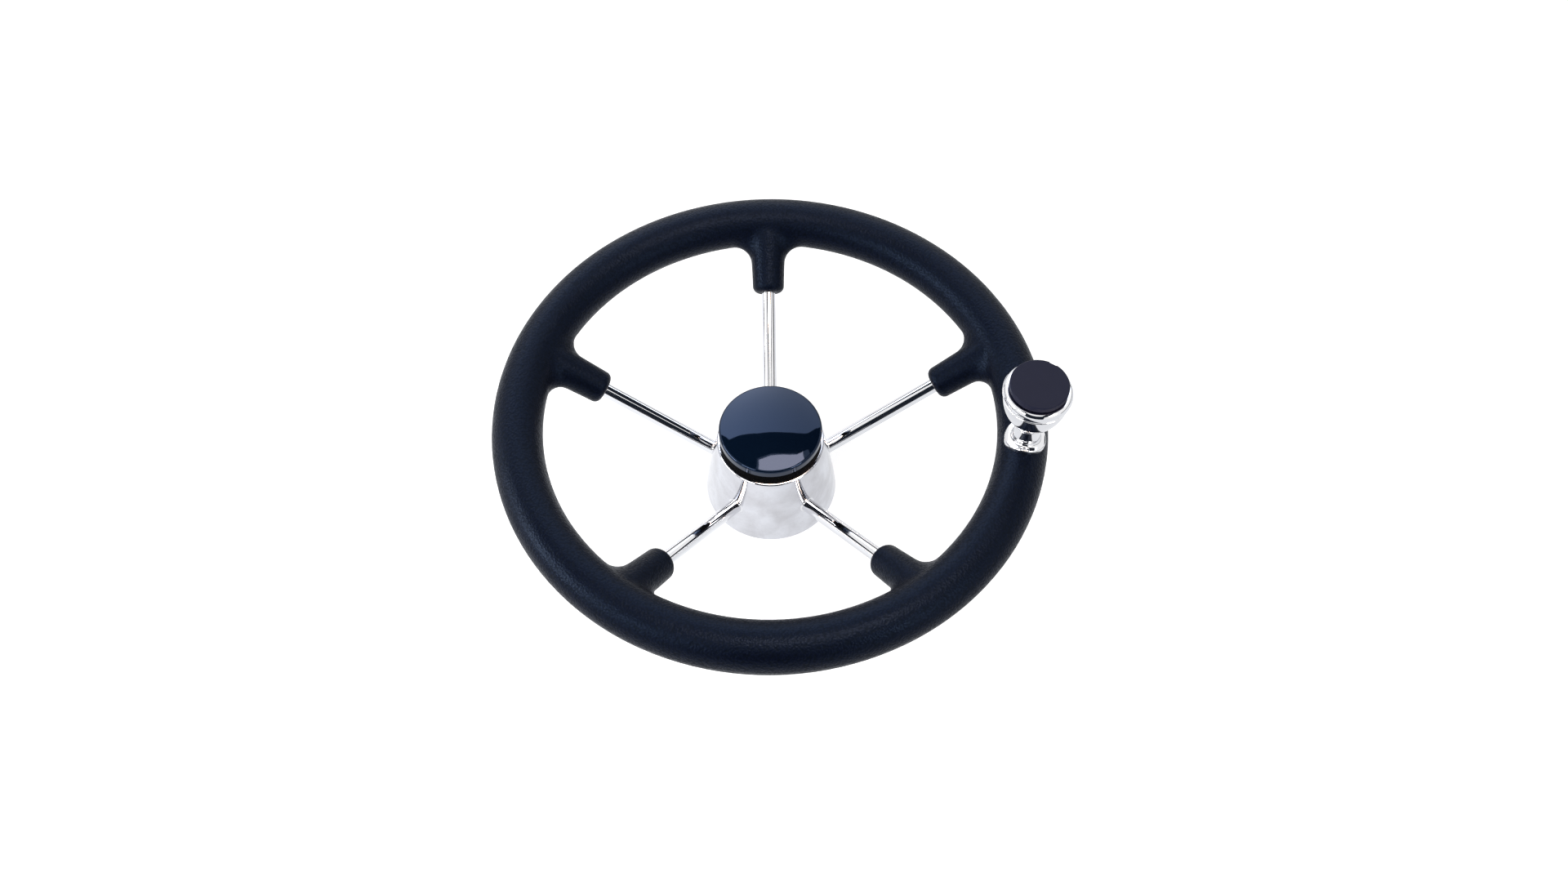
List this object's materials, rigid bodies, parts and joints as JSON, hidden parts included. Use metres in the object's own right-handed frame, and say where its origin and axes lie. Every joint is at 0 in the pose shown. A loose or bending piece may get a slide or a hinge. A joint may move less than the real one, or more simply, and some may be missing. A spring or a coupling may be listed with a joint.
{
  "type": "boat steering wheel",
  "caption": "Stainless boat steering wheel: a foam covered ring on sloped polished rods, a conical hub with a domed black cap, and a free turning spinner knob on the ring.",
  "frame": {"origin": "on the wheel's axis at the mouth of the shaft bore, level with the hub's base", "axes": "+Z along the shaft towards the driver, +Y towards the uppermost spoke"},
  "size_m": [0.3452, 0.343, 0.1549],
  "materials": {
    "polished_stainless": "mirror polished",
    "plain_stainless": "turned",
    "grip_foam": "pebble grained",
    "gloss_black": "high gloss",
    "satin_black": "satin",
    "seal_rubber": "matt",
    "bearing_plastic": "natural"
  },
  "bodies": {
    "wheel": {"foam_grip": "grip_foam", "rim_core_tube": "plain_stainless", "spoke_1": "polished_stainless", "spoke_2": "polished_stainless", "spoke_3": "polished_stainless", "spoke_4": "polished_stainless", "spoke_5": "polished_stainless", "hub_cone": "polished_stainless", "hub_boss": "plain_stainless", "hub_top_plate": "plain_stainless", "cap_seal": "seal_rubber", "hub_cap": "gloss_black", "cap_retaining_ring": "seal_rubber", "knob_mount": "plain_stainless", "knob_foot": "polished_stainless", "knob_axle": "plain_stainless", "knob_thrust_washer": "bearing_plastic", "knob_top_washer": "plain_stainless", "knob_nut": "plain_stainless"},
    "knob": {"knob_body": "polished_stainless", "knob_cap": "satin_black", "knob_lower_bush": "bearing_plastic", "knob_upper_bush": "bearing_plastic"}
  },
  "joints": [
    {"name": "knob_spin", "type": "hinge", "parent": "wheel", "child": "knob", "pos_m": [0.15339, -0.02843, 0.115], "axis": [0, 0, 1], "continuous": true}
  ]
}
